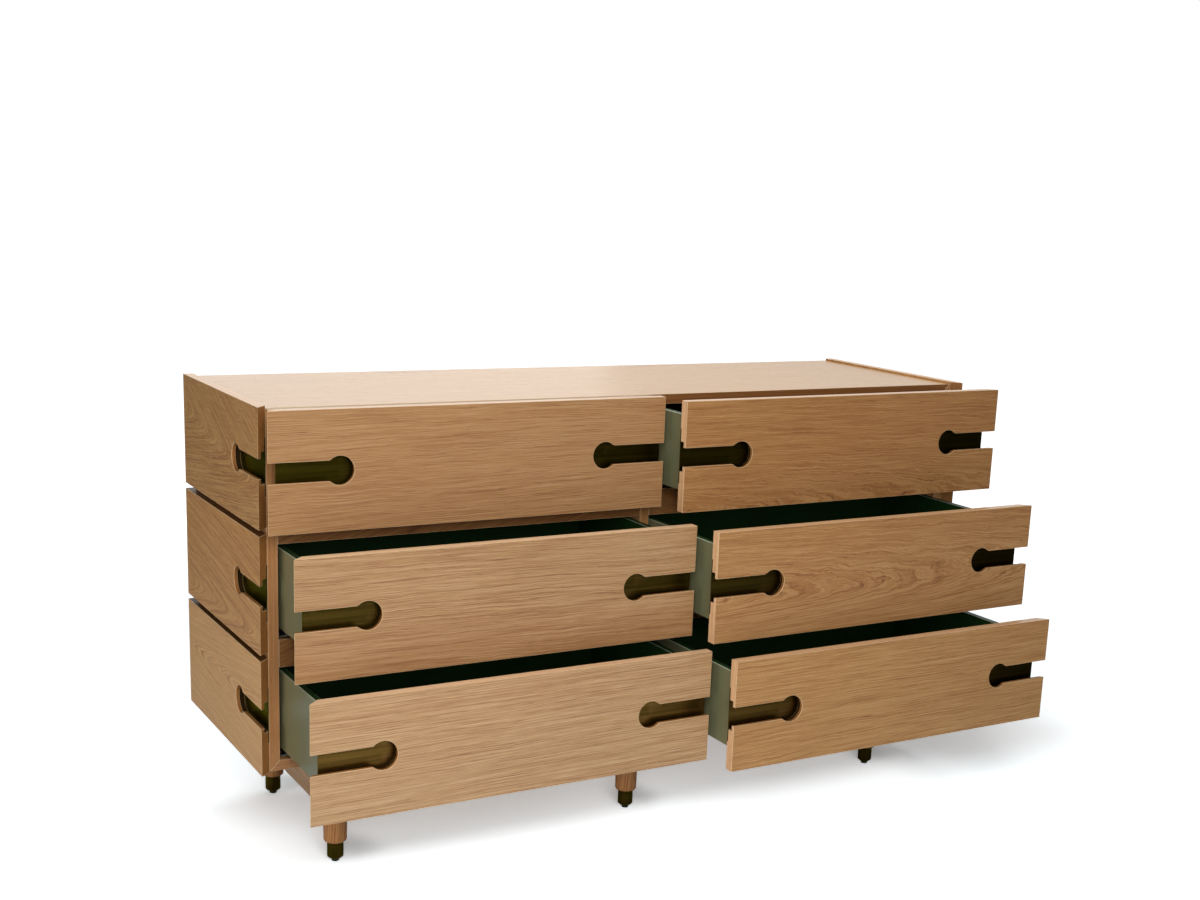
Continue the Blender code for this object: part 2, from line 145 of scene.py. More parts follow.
class Finish:
    # a material with its shader, and a board's own directions: along the grain, across it, through it
    def __init__(self, name, centre=(0.0, 0.0, 0.0), axes="xyz"):
        self.material = bpy.data.materials.new(name)
        self.material.use_nodes = True
        self.tree = self.material.node_tree
        self.shader = self.tree.nodes["Principled BSDF"]
        place = Wire(self.tree).node("ShaderNodeTexCoord", out="Object")
        away = tuple(-value for value in centre)
        centred = place.node("ShaderNodeMapping", None, {"Vector": place, "Location": away})
        split = centred.node("ShaderNodeSeparateXYZ", None, {0: centred}).socket.node.outputs
        wires = {axis: Wire(self.tree, socket) for axis, socket in zip("xyz", split)}
        self.along, self.across, self.through = (wires[axis] for axis in axes)
        self.grain = place.vector(self.along, self.across, self.through)

    def feed(self, values):
        for name, value in values.items():
            if isinstance(value, Wire):
                self.tree.links.new(value.socket, self.shader.inputs[name])
            else:
                self.shader.inputs[name].default_value = value

    def bump(self, height, distance, strength):
        values = {"Height": height, "Distance": distance, "Strength": strength}
        self.feed({"Normal": height.node("ShaderNodeBump", None, values)})


# oak: fine lines follow the figure, and dark pores lie in the early wood of each ring
oakLook = {
    "light": (0.530, 0.315, 0.150),
    "mid": (0.430, 0.230, 0.093),
    "dark": (0.302, 0.134, 0.056),
    "pore": (0.160, 0.064, 0.030),
    "ruddy": (0.800, 0.620, 0.450),
    "edgeLight": (0.560, 0.350, 0.185),
    "edgeDark": (0.330, 0.170, 0.070),
    # the pale colour painted on an edge's left half is a painted highlight
    "edgePale": (0.850, 0.660, 0.460),
}
# how fine each pattern is along the grain, across it and through the board
oakScale = {
    "sway": (1.6, 4.0, 4.0),
    "bulge": (2.2, 7.0, 7.0),
    "jog": (16.0, 42.0, 42.0),
    "rings": (1.2, 170.0, 20.0),
    "fibre": (18.0, 780.0, 780.0),
    "drift": (1.1, 9.0, 9.0),
    "dashes": (30.0, 900.0, 60.0),
    "layers": (3.0, 3.0, 240.0),
    "edgeLines": (8.0, 8.0, 620.0),
    "ticks": (55.0, 55.0, 1300.0),
}
# what a board has unless its own look says otherwise
plainBoard = {
    "lean": 0.0,  # the pith's run across the board, to each metre along it
    "taper": 0.0,  # how fast the log narrows, which closes the arches
    "wander": 0.022,  # the figure's bends in metres: broad ones, deep ones and small ones
    "bulge": 0.020,
    "jog": 0.005,
    "fineness": 640.0,
    "figure": 0.2,
    "contrast": 1.0,
    "ruddy": 0.0,  # how ruddy the lower half is
    "roughness": 0.38,
    "sheen": 0.30,
    "edgeTone": 1.0,
    "edgeSheen": 0.45,
    "paler": 0.0,  # how pale the left half of an edge is painted, a painted highlight
}


def oakFace(name, centre, axes, look):
    # pith says where the log's middle lies, across the board and behind it, and slope how that depth changes
    look = {**plainBoard, **look}
    finish = Finish(name, centre, axes)
    grain = finish.grain
    seed = look["seed"]
    shift = (seed * 3.1, seed * 7.7, seed * 1.9)
    turned = (seed * 5.3, seed * 2.3, seed * 4.1)
    sway = grain.noise(oakScale["sway"], shift) - 0.5
    bulge = grain.noise(oakScale["bulge"], turned) - 0.5
    jog = (grain.noise(oakScale["jog"], turned, 3.0, 0.6) - 0.5) * look["jog"]
    aside = finish.across - look["pith"][0] - finish.along * look["lean"]
    aside = aside + sway * look["wander"] + jog
    behind = finish.along * look["slope"] + look["pith"][1] + bulge * look["bulge"] + jog
    radius = (aside * aside + behind * behind) ** 0.5 - finish.along * look["taper"]
    figure = grain.vector(finish.along, radius, finish.through * 0.2)
    rings = figure.noise(oakScale["rings"], shift, 2.0, 0.6)
    lines = figure.noise((5.0, look["fineness"], 40.0), turned, 3.0, 0.68)
    fibre = grain.noise(oakScale["fibre"], shift, 3.0, 0.7)
    drift = grain.noise(oakScale["drift"], shift, 3.0)
    dashes = figure.noise(oakScale["dashes"], shift)
    early = lines.between(0.48, 0.62)
    pores = dashes.between(0.56, 0.70) * (early * 0.7 + 0.3)
    shade = (rings - 0.5) * look["figure"] + (lines - 0.5) * 3.0 + (fibre - 0.5) * 1.5
    shade = (shade + (drift - 0.5) * 0.5) * look["contrast"] + 0.48
    light, mid, dark, pore = (tinted(oakLook[part], look["tint"]) for part in ("light", "mid", "dark", "pore"))
    ramp = {"stops": [(0.0, light), (1.0, dark), (0.5, mid)]}
    wood = shade.node("ShaderNodeValToRGB", ramp, {0: shade})
    wood = (pores * (0.62 * look["contrast"])).mixed(wood, pore)
    wood = ((drift - 0.5) * 0.18 + 1.0).shading(wood)
    ruddy = finish.across.between(0.02, -0.10) * look["ruddy"]
    wood = ruddy.mixed(wood, wood.shading(oakLook["ruddy"]))
    rough = pores * 0.22 + fibre * 0.12 + (look["roughness"] - 0.06)
    finish.feed({"Base Color": wood, "Roughness": rough, "Specular IOR Level": look["sheen"]})
    finish.bump(fibre * 0.4 - pores, 0.00015, 0.4)
    return finish.material


def oakEdge(name, centre, axes, look):
    # edges show the layers of the board, in lines that run along them
    look = {**plainBoard, **look}
    finish = Finish(name, centre, axes)
    seed = look["seed"]
    shift = (seed * 1.3, seed * 4.7, seed * 9.1)
    layers = finish.grain.noise(oakScale["layers"], shift)
    lines = finish.grain.noise(oakScale["edgeLines"], shift, 3.0, 0.65)
    ticks = finish.grain.noise(oakScale["ticks"], shift, 1.0).between(0.58, 0.72)
    shade = (lines - 0.5) * 1.1 + (layers - 0.5) * 1.5 + 0.40
    tint = look.get("edgeTint", look["tint"])
    wood = shade.mixed(tinted(oakLook["edgeLight"], tint), tinted(oakLook["edgeDark"], tint))
    wood = (ticks * 0.4).mixed(wood, oakLook["pore"])
    # the left half of an edge painted pale: a painted highlight
    wood = (finish.along.between(0.02, -0.02) * look["paler"]).mixed(wood, oakLook["edgePale"])
    wood = ((layers - 0.5) * 0.2 + look["edgeTone"]).shading(wood)
    rough = lines * 0.12 + 0.24
    finish.feed({"Base Color": wood, "Roughness": rough, "Specular IOR Level": look["edgeSheen"]})
    finish.bump(lines - ticks * 0.5, 0.0001, 0.3)
    return finish.material


def oakPlain(name, colour, spread, roughness, sheen):
    finish = Finish(name)
    cloud = finish.grain.noise((38.0, 38.0, 38.0), detail=3.0)
    fine = finish.grain.noise((260.0, 260.0, 260.0), (4.0, 2.0, 7.0))
    level = (cloud - 0.5) * spread + (fine - 0.5) * spread + 1.0
    rough = fine * 0.15 + roughness
    finish.feed({"Base Color": level.shading(colour), "Roughness": rough, "Specular IOR Level": sheen})
    finish.bump(fine, 0.0001, 0.3)
    return finish.material


# small faces: worn corners, the sawn walls of mitres and slots, darkened partly as painted shade, and the
# hollow behind a slot's lip, painted near black as shade
smallFaceLook = {
    "wornArris": {"colour": (0.600, 0.400, 0.220), "spread": 0.55, "roughness": 0.30, "sheen": 0.30},
    "sawnOak": {"colour": (0.285, 0.115, 0.028), "spread": 0.60, "roughness": 0.48, "sheen": 0.20},
    "paintedShadeHollow": {"colour": (0.030, 0.016, 0.005), "spread": 0.60, "roughness": 0.70, "sheen": 0.04},
}
arrisOak, cutOak, paintedShadeHollow = (oakPlain(name, **look) for name, look in smallFaceLook.items())

# metal: bronze for plates and ferrules, zinc-plated steel for runners and screws
bronzeLook = {
    "base": (0.088, 0.060, 0.0080),
    "dark": (0.016, 0.013, 0.0010),
    "warm": (0.150, 0.092, 0.0200),
    "glance": (0.750, 0.780, 0.450),  # tint where the metal is seen edge on
}
ferruleLook = {"tone": 1.35, "roughness": 0.16, "stretch": (3.0, 170.0, 170.0)}
steelLook = {"base": (0.30, 0.305, 0.285), "dull": (0.16, 0.17, 0.155)}


def brushedBronze(
    name, axes, centre=(0.0, 0.0, 0.0), hue=(1.0, 1.0, 1.0), tone=1.0, paintedLightSlope=0.0,
    roughness=0.30, stretch=(5.0, 700.0, 700.0),
):
    # the slope says how fast the metal lightens along the brushing: painted light and shade, not the metal's
    # own colour
    finish = Finish(name, centre, axes)
    brush = finish.grain.noise(stretch, detail=3.0, roughness=0.6)
    bands = finish.grain.noise((1.5, 130.0, 130.0), (3.0, 1.0, 5.0))
    cloud = finish.grain.noise((8.0, 12.0, 12.0), (1.0, 6.0, 2.0), 3.0)
    stains = finish.grain.noise((26.0, 30.0, 30.0), (8.0, 2.0, 6.0), 3.0).between(0.52, 0.70)
    shade = (brush - 0.5) * 1.4 + (bands - 0.5) * 1.0 + (cloud - 0.5) * 0.8 + 0.40
    base, dark, warm = (tinted(bronzeLook[part], hue) for part in ("base", "dark", "warm"))
    metal = (stains * 0.25).mixed(shade.mixed(base, dark), warm)
    level = (finish.along * paintedLightSlope + tone) * ((cloud - 0.5) * 0.4 + 1.0)
    rough = brush * 0.16 + cloud * 0.12 + (roughness - 0.12)
    finish.feed({"Base Color": level.shading(metal), "Roughness": rough, "Metallic": 1.0})
    finish.feed({"Specular Tint": rgba(bronzeLook["glance"])})
    finish.bump(brush, 0.00005, 0.35)
    return finish.material


def zincPlate(name):
    finish = Finish(name)
    spangle = finish.grain.noise((140.0, 60.0, 140.0))
    scuff = finish.grain.noise((18.0, 900.0, 900.0), (5.0, 1.0, 1.0))
    worn = (spangle * 0.6 + scuff * 0.4).between(0.35, 0.68)
    zinc = worn.mixed(steelLook["base"], steelLook["dull"])
    finish.feed({"Base Color": zinc, "Roughness": spangle * 0.22 + 0.26, "Metallic": 1.0})
    finish.bump(scuff, 0.00004, 0.25)
    return finish.material


def satinPaint(name, colour, roughness=0.34, spread=0.10, sheen=0.5):
    finish = Finish(name)
    cloud = finish.grain.noise((7.0, 7.0, 7.0), detail=3.0)
    peel = finish.grain.noise((260.0, 260.0, 260.0), (2.0, 3.0, 4.0))
    level = (cloud - 0.5) * spread * 2.0 + (peel - 0.5) * spread + 1.0
    rough = cloud * 0.10 + (roughness - 0.05)
    finish.feed({"Base Color": level.shading(colour), "Roughness": rough, "Specular IOR Level": sheen})
    finish.bump(peel, 0.00006, 0.25)
    return finish.material


# lacquer for the boxes, the inside painted near black as shade and the rim painted lighter as a highlight, and
# plastic for glides, clips and bumpers
paintLook = {
    "greenLacquer": {"colour": (0.165, 0.165, 0.086)},
    "paintedShadeInsideLacquer": {"colour": (0.008, 0.030, 0.006), "roughness": 0.48, "spread": 0.20, "sheen": 0.15},
    "paintedHighlightRimLacquer": {"colour": (0.300, 0.320, 0.220), "roughness": 0.30},
    "glideBlack": {"colour": (0.012, 0.012, 0.012), "roughness": 0.45, "spread": 0.25},
    "clipGrey": {"colour": (0.200, 0.205, 0.210), "roughness": 0.42, "spread": 0.20},
    "bumperRubber": {"colour": (0.420, 0.410, 0.380), "roughness": 0.38, "spread": 0.15},
}
paints = {name: satinPaint(name, **look) for name, look in paintLook.items()}
runnerZinc = zincPlate("zincPlate")
ferruleBronze = brushedBronze("ferruleBronze", "zxy", **ferruleLook)
print("shared finishes mixed")


parts = bpy.data.collections.new("dressedParts")
bpy.context.scene.collection.children.link(parts)
sameSpot = 0.00001  # corners of a CAD mesh that are nearer than this are one
hair = 0.0001  # for telling which faces lie in a plane
flatWithin = math.radians(0.6)
sharpCorner = math.radians(27.0)
smoothUpTo = math.radians(46.0)


def asMesh(name, shape):
    mesh = bpy.data.meshes.new(name)
    shape.to_mesh(mesh)
    shape.free()
    return mesh


def finishPiece(name, shape, materials, body, standsFor=()):
    mesh = asMesh(name, shape)
    for material in materials:
        mesh.materials.append(material)
    piece = bpy.data.objects.new(name, mesh)
    parts.objects.link(piece)
    evened = piece.modifiers.new("evenShading", "WEIGHTED_NORMAL")
    evened.keep_sharp = True
    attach(piece, body)
    if standsFor:
        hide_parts(*standsFor)
    return piece


def nodeShape(node):
    # a merged copy of a node's mesh, with its flat faces made whole
    shape = bmesh.new()
    shape.from_mesh(cadNodes[node].data)
    bmesh.ops.remove_doubles(shape, verts=shape.verts, dist=sameSpot)
    bmesh.ops.dissolve_limit(shape, angle_limit=flatWithin, verts=shape.verts, edges=shape.edges)
    return shape


def easeEdges(shape, width, chosen=None, segments=2):
    # rounds over the outward corners and returns the new faces
    sharp = []
    for edge in shape.edges:
        if edge.is_manifold and edge.is_convex and edge.calc_face_angle() > sharpCorner:
            if chosen is None or chosen(edge):
                sharp.append(edge)
    made = bmesh.ops.bevel(
        shape, geom=sharp, offset=width, offset_type="OFFSET", segments=segments, profile=0.5,
        affect="EDGES", material=-1, clamp_overlap=False,
    )
    return made["faces"]


def shadeByAngle(shape, limit=smoothUpTo):
    for face in shape.faces:
        face.smooth = True
    for edge in shape.edges:
        edge.smooth = not (edge.is_manifold and edge.calc_face_angle() > limit)


def cornersOf(node):
    low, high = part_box(node)
    return Vector(low), Vector(high)


def addBox(shape, low, high):
    middle = (Vector(low) + Vector(high)) / 2
    size = Vector(high) - Vector(low)
    place = Matrix.Translation(middle) @ Matrix.Diagonal((*size, 1.0))
    bmesh.ops.create_cube(shape, size=1.0, matrix=place)


def spinProfile(shape, profile, centre=(0.0, 0.0), steps=72):
    # turns a list of (radius, height) points round an upright axis, with both ends closed
    points = [(0.0, profile[0][1]), *profile, (0.0, profile[-1][1])]
    verts = [shape.verts.new((centre[0] + radius, centre[1], height)) for radius, height in points]
    edges = [shape.edges.new(pair) for pair in zip(verts, verts[1:])]
    bmesh.ops.spin(
        shape, geom=verts + edges, cent=(*centre, 0.0), axis=(0.0, 0.0, 1.0),
        angle=math.tau, steps=steps, use_merge=True, use_duplicate=False,
    )
    bmesh.ops.remove_doubles(shape, verts=shape.verts, dist=sameSpot / 2)
    bmesh.ops.recalc_face_normals(shape, faces=shape.faces)


def stamp(shape, pattern, place):
    # adds a copy of a small mesh at a place
    before = set(shape.verts)
    shape.from_mesh(pattern)
    added = [vert for vert in shape.verts if vert not in before]
    bmesh.ops.transform(shape, matrix=place, verts=added)
    if place.determinant() < 0:
        # a mirrored copy is inside out until its faces are turned
        faces = [face for face in shape.faces if face.verts[0] not in before]
        bmesh.ops.reverse_faces(shape, faces=faces)


def oakBoard(node, axes, ease, look, lip=None):
    # 0 broad faces, 1 ends, 2 mitres and slots, darkened partly as painted shade, 3 worn corners, 4 the hollow
    # behind a slot's lip, painted near black as shade, 5 long edges
    low, high = cornersOf(node)
    centre = tuple((low + high) / 2)
    grain, wide, broad = ("xyz".index(axis) for axis in axes)
    shape = nodeShape(node)
    for face in shape.faces:
        axis = max(range(3), key=lambda index: abs(face.normal[index]))
        middle = face.calc_center_median()
        gap = min(middle[axis] - low[axis], high[axis] - middle[axis])
        outer = abs(face.normal[axis]) > 0.999 and gap < hair
        face.material_index = {broad: 0, grain: 1, wide: 5}[axis] if outer else 2
        # faces behind the lip take the hollow's painted shade
        if lip and not outer and abs(face.normal[broad]) < 0.1:
            level, way = lip
            if (middle[broad] - level) * way > 0:
                face.material_index = 4
    for face in easeEdges(shape, ease):
        face.material_index = 3
    shadeByAngle(shape)
    veneer = oakFace(f"oakFace_{node}", centre, axes, look)
    ends = oakEdge(f"oakEdge_{node}", centre, axes, look)
    longEdges = ends
    if "long" in look:
        longEdges = oakEdge(f"oakLongEdge_{node}", centre, axes, {**look, **look["long"]})
    materials = [veneer, ends, cutOak, arrisOak, paintedShadeHollow, longEdges]
    finishPiece(f"{node}_board", shape, materials, bodyOf[node], [node])


# the fronts' veneer runs across the dresser, and each leaf has its own figure
# the edge tints paint the fronts' edges paler, partly a painted highlight; the two lower left fronts get the
# brightest, a painted highlight along their top edges
everyFront = {"edgeTint": (1.48, 1.48, 1.55), "fineness": 780.0}
# each front's tint is partly the leaf's own tone and partly painted light: the lower left fronts painted paler
# and bluer with painted sheen, the upper right ones darker as the light falls off
frontLook = {
    ("left", "lower"): {
        "pith": (0.42, 0.16), "slope": 0.030, "tint": (1.04, 1.14, 1.32), "seed": 1.3,
        "edgeTint": (1.75, 1.90, 2.20),
    },
    ("left", "middle"): {
        "pith": (-0.30, 0.14), "slope": 0.030, "tint": (0.92, 0.97, 1.06), "seed": 2.6,
        "edgeTint": (1.75, 1.90, 2.20), "ruddy": 0.5,
    },
    ("left", "upper"): {
        "pith": (-0.36, 0.12), "slope": -0.030, "tint": (0.87, 0.84, 0.82), "seed": 3.9,
    },
    ("right", "lower"): {
        "pith": (-0.17, 0.06), "slope": -0.040, "tint": (0.99, 0.95, 0.82), "seed": 4.7,
    },
    ("right", "middle"): {
        "pith": (-0.02, 0.05), "slope": 0.060, "tint": (0.93, 0.87, 0.77), "seed": 5.2, "jog": 0.010,
    },
    ("right", "upper"): {
        "pith": (-0.10, 0.05), "slope": 0.050, "tint": (0.86, 0.76, 0.62), "seed": 6.8, "jog": 0.009,
    },
}
panelEase = 0.0007
lipDepth = 0.0072
for side, row in drawers:
    node = f"drawer_front_{side}_{row}"
    lip = (cornersOf(node)[0].y + lipDepth, 1)
    oakBoard(node, "xzy", panelEase, {**everyFront, **frontLook[(side, row)]}, lip)
print("fronts veneered")

# the side panels' veneer runs from front to back, cut through the arches of the log
everySidePanel = {
    "slope": 0.0, "figure": 0.4, "fineness": 440.0, "wander": 0.012, "bulge": 0.014, "jog": 0.0045,
    "contrast": 1.15,
}
# the left panels' tints are partly their own tone and partly painted light: the lower panel painted lighter
# than the upper ones
sidePanelLook = {
    ("left", "lower"): {
        "pith": (0.018, 0.014), "taper": -0.09, "tint": (1.38, 1.34, 1.07), "seed": 11.3,
        "contrast": 0.7, "fineness": 600.0,
    },
    ("left", "middle"): {
        "pith": (-0.072, 0.013), "taper": 0.16, "tint": (1.15, 1.01, 0.69), "seed": 12.1,
    },
    ("left", "upper"): {
        "pith": (0.010, 0.012), "taper": 0.30, "lean": 0.17, "tint": (1.05, 0.97, 0.71), "seed": 13.7,
        "contrast": 1.5,
    },
    ("right", "lower"): {
        "pith": (0.000, 0.014), "taper": 0.18, "tint": (0.98, 0.92, 0.74), "seed": 14.9,
    },
    ("right", "middle"): {
        "pith": (0.030, 0.013), "taper": -0.20, "tint": (0.98, 0.92, 0.74), "seed": 15.4,
    },
    ("right", "upper"): {
        "pith": (-0.030, 0.012), "taper": 0.24, "lean": 0.10, "tint": (0.98, 0.92, 0.74), "seed": 16.2,
    },
}
# the upper panels' edges are open and painted paler, partly painted light; the others lie in the gap under the
# panel above, painted darker as shade
openEdges = {"edgeTint": (1.45, 1.38, 1.10), "edgeTone": 1.0}
shadedGapEdges = {
    "edgeTone": 0.85, "edgeSheen": 0.15,
    "long": {"edgeTint": (1.15, 0.78, 0.30), "edgeTone": 0.22, "edgeSheen": 0.03},
}
for side, row in drawers:
    node = f"side_panel_{side}_{row}"
    low, high = cornersOf(node)
    edges = openEdges if row == "upper" else shadedGapEdges
    lip = (low.x + lipDepth, 1) if side == "left" else (high.x - lipDepth, -1)
    oakBoard(node, "yzx", panelEase, {**everySidePanel, **sidePanelLook[(side, row)], **edges}, lip)
print("side panels veneered")

# the case: axes say along, across and through the grain
caseEase = 0.0006
# this tint is left to the rails, painted dark as shade under the fronts
everyCaseBoard = {"slope": 0.03, "tint": (0.50, 0.39, 0.28), "edgeTone": 0.85, "edgeSheen": 0.15}
caseLook = {
    # the top's tint is painted light: lighter than the other boards, as the top is lit from above; its front
    # edge is tinted darker, with its left half painted pale, a painted highlight
    "top_panel": ("xyz", {
        "pith": (0.20, 0.12), "slope": 0.015, "tint": (1.28, 1.29, 1.00), "seed": 21.0,
        "roughness": 0.29, "sheen": 0.80, "contrast": 0.55, "edgeTint": (0.58, 0.39, 0.24), "paler": 1.0,
    }),
    "bottom_panel": ("xyz", {
        "pith": (-0.18, 0.12), "slope": 0.015, "tint": (0.92, 0.74, 0.60), "seed": 22.0,
    }),
    "carcass_side_left": ("zyx", {
        "pith": (0.12, 0.10), "slope": 0.02, "tint": (0.95, 0.76, 0.60), "seed": 23.0,
    }),
    "carcass_side_right": ("zyx", {
        "pith": (-0.12, 0.10), "slope": 0.02, "tint": (1.18, 1.00, 0.80), "seed": 24.0,
    }),
    "centre_divider": ("zyx", {
        "pith": (0.12, 0.12), "slope": 0.03, "tint": (0.85, 0.85, 0.85), "seed": 25.0,
        "edgeTint": (0.80, 0.64, 0.44),
    }),
    "rail_lower_left": ("xzy", {"pith": (0.02, 0.01), "lean": 0.40, "seed": 26.0}),
    "rail_lower_right": ("xzy", {"pith": (0.03, 0.01), "lean": -0.30, "seed": 27.0}),
    "rail_upper_left": ("xzy", {"pith": (0.02, 0.01), "lean": 0.40, "seed": 28.0}),
    "rail_upper_right": ("xzy", {"pith": (-0.02, 0.01), "lean": -0.35, "seed": 29.0}),
    "back_panel": ("xzy", {"pith": (0.10, 0.12), "slope": 0.02, "tint": (0.90, 0.90, 0.90), "seed": 30.0}),
}
for node, (axes, look) in caseLook.items():
    oakBoard(node, axes, caseEase, {**everyCaseBoard, **look})
print("case boards veneered")

# bronze plates behind the slots; a tone is the painted brightness at a plate's two ends, which is painted
# light and shade: the left plates lighter than the right, the lower plates painted lighter as a painted
# reflection of the floor, each row with its own painted hue, and the side plates lighter towards the back
plateLook = {
    "ease": 0.0003,
    "sideHue": (1.00, 1.30, 1.30),
    "sideTone": (0.75, 2.40),
    "hue": {"lower": (1.22, 1.00, 1.75), "middle": (1.08, 1.00, 1.35), "upper": (0.96, 1.02, 0.80)},
    "tone": {
        ("left", "lower"): (1.85, 1.80),
        ("left", "middle"): (1.15, 1.15),
        ("left", "upper"): (0.85, 0.50),
        ("right", "lower"): (1.35, 0.18),
        ("right", "middle"): (0.88, 0.22),
        ("right", "upper"): (0.52, 0.22),
    },
}


def bronzePlate(node, axes, hue, tone):
    low, high = cornersOf(node)
    along = "xyz".index(axes[0])
    paintedLightSlope = (tone[1] - tone[0]) / (high[along] - low[along])
    shape = nodeShape(node)
    easeEdges(shape, plateLook["ease"])
    shadeByAngle(shape)
    bronze = brushedBronze(f"bronze_{node}", axes, tuple((low + high) / 2), hue, sum(tone) / 2, paintedLightSlope)
    finishPiece(f"{node}_brushed", shape, [bronze], bodyOf[node], [node])


for side, row in drawers:
    bronzePlate(f"pull_plate_{side}_{row}", "xzy", plateLook["hue"][row], plateLook["tone"][(side, row)])
    bronzePlate(f"side_plate_{side}_{row}", "yzx", plateLook["sideHue"], plateLook["sideTone"])
print("bronze plates brushed")

# drawer boxes: 0 outside, 1 inside, painted dark as shade, 2 rim, painted lighter as a highlight, 3 the steel
# half of the runners
boxLook = {
    "rimEase": 0.0014,
    "wall": 0.012,
    "underside": 0.050,  # the box's lower edge, over the front's
}
for side, row in drawers:
    node = f"drawer_box_{side}_{row}"
    low, high = cornersOf(node)
    wall = boxLook["wall"] - hair
    underside = cornersOf(f"drawer_front_{side}_{row}")[0].z + boxLook["underside"]
    shape = nodeShape(node)
    for face in shape.faces:
        spot = face.calc_center_median()
        if low.x + wall < spot.x < high.x - wall and low.y + wall < spot.y < high.y - wall:
            face.material_index = 3 if spot.z < underside - hair else 1
    rim = easeEdges(shape, boxLook["rimEase"], lambda edge: min(v.co.z for v in edge.verts) > high.z - hair)
    for face in rim:
        face.material_index = 2
    shadeByAngle(shape)
    lacquers = [paints[name] for name in ("greenLacquer", "paintedShadeInsideLacquer", "paintedHighlightRimLacquer")]
    finishPiece(f"{node}_lacquered", shape, [*lacquers, runnerZinc], bodyOf[node], [node])
print("drawer boxes lacquered")

runnerLook = {"ease": 0.0004}
for column in columns:
    for row in rows:
        node = f"runner_{column}_{row}"
        shape = nodeShape(node)
        easeEdges(shape, runnerLook["ease"])
        shadeByAngle(shape)
        finishPiece(f"{node}_zinc", shape, [runnerZinc], bodyOf[node], [node])
print("runners plated")

# base: bevelled beams, turned stubs, bronze ferrules and black glides
baseLook = {
    "beamBottom": 0.110,
    "beamEase": 0.002,
    "beamOak": {"pith": (0.02, 0.06), "slope": 0.05, "tint": (0.90, 0.90, 0.90), "seed": 31.0},
    "stubOak": {"pith": (0.05, 0.06), "slope": 0.03, "tint": (1.12, 0.92, 0.74), "seed": 35.0},
    "stub": ((0.0222, 0.1110), (0.0222, 0.1090), (0.0212, 0.0440)),
    "stubFoot": (0.0212, 0.0440, 0.0050),  # radius, height and rounding
    "ferrule": (
        (0.0142, 0.0387), (0.0150, 0.0379), (0.0150, 0.0352), (0.0146, 0.0348), (0.0146, 0.0340),
        (0.0150, 0.0336), (0.0150, 0.0105), (0.0145, 0.0095), (0.0085, 0.0045), (0.0072, 0.0045),
    ),
    "glide": ((0.0070, 0.0052), (0.0070, 0.0008), (0.0062, 0.0)),
}


def roundedFoot(radius, height, rounding, steps=8):
    # points from the side of a stub round to its underside
    turns = [math.pi / 2 * step / steps for step in range(1, steps + 1)]
    return [(radius - rounding * (1 - math.cos(turn)), height - rounding * math.sin(turn)) for turn in turns]


turned = bmesh.new()
spinProfile(turned, [*baseLook["stub"], *roundedFoot(*baseLook["stubFoot"])])
for face in turned.faces:
    face.material_index = 2
stub = asMesh("stub", turned)
for column in columns:
    node = f"base_beam_{column}"
    low, high = cornersOf(node)
    low.z = baseLook["beamBottom"]
    middle = tuple((low + high) / 2)
    shape = bmesh.new()
    addBox(shape, low, high)
    for face in easeEdges(shape, baseLook["beamEase"], segments=3):
        face.material_index = 1
    for end in footRows:
        ferruleNode = f"ferrule_{end}_{column}"
        corners = cornersOf(ferruleNode)
        centre = tuple((corners[0] + corners[1]) / 2)[:2]
        stamp(shape, stub, Matrix.Translation((*centre, 0.0)))
        body = bodyOf[ferruleNode]
        turnings = (("ferrule", ferruleBronze, [ferruleNode]), ("glide", paints["glideBlack"], ()))
        for kind, finish, nodes in turnings:
            foot = bmesh.new()
            spinProfile(foot, baseLook[kind], centre)
            shadeByAngle(foot, sharpCorner)
            finishPiece(f"{kind}_{end}_{column}_turned", foot, [finish], body, nodes)
    shadeByAngle(shape)
    beamOak = oakFace(f"oakFace_{node}", middle, "yzx", baseLook["beamOak"])
    stubOak = oakFace(f"oakStub_{column}", middle, "zxy", baseLook["stubOak"])
    finishPiece(f"{node}_oak", shape, [beamOak, arrisOak, stubOak], bodyOf[node], [node])
print("base turned")

# fixings: pan-head screws with a cross recess, locking clips and bumpers
screwLook = {
    "head": ((0.0012, 0.0014), (0.0024, 0.0012), (0.0033, 0.0007), (0.0036, 0.0)),
    "recess": (0.0044, 0.0009, 0.0009),  # length, width and depth
    "frontShares": (0.12, 0.38, 0.62, 0.88),  # of the box's width
    "frontLevels": (0.085, 0.145),  # over the front's lower edge
    "runnerPlaces": (0.030, 0.095, 0.190, 0.285, 0.350),  # behind the runner's front end
    "runnerLevel": 0.0068,  # over the runner's lower edge
    "runnerSheet": 0.002,  # thickness of its steel
    "backInset": 0.012,  # from the back's edges
    "backColumns": 7,  # along its top and bottom
    "backShares": (0.27, 0.5, 0.73),  # of its height, for the rows between
}
clipLook = {
    "size": (0.044, 0.053, 0.0100),
    "ease": 0.0012,
    "thumb": (0.017, 0.013, 0.030, 0.004),  # hollow: from the inner end, then width, length and depth
    "groove": (0.005, 0.017, 0.0025, 0.0016),  # from the outer end, then length, width and depth
    "grooves": (5, 0.018, 0.0055),  # how many, the first one's place, and the step
    "inset": 0.0453,  # from the box's side
    "behind": 0.0006,  # the box's front wall
    "under": 0.0003,  # the box
}
bumperLook = {
    "dome": ((0.0022, 0.0017), (0.0036, 0.0014), (0.0043, 0.0008), (0.0045, 0.0)),
    "insets": (0.030, 0.045),  # from a front's inner and outer end
    "levels": (0.010, 0.198),  # over its lower edge
}
past = 0.001  # how far a cutter reaches past what it cuts


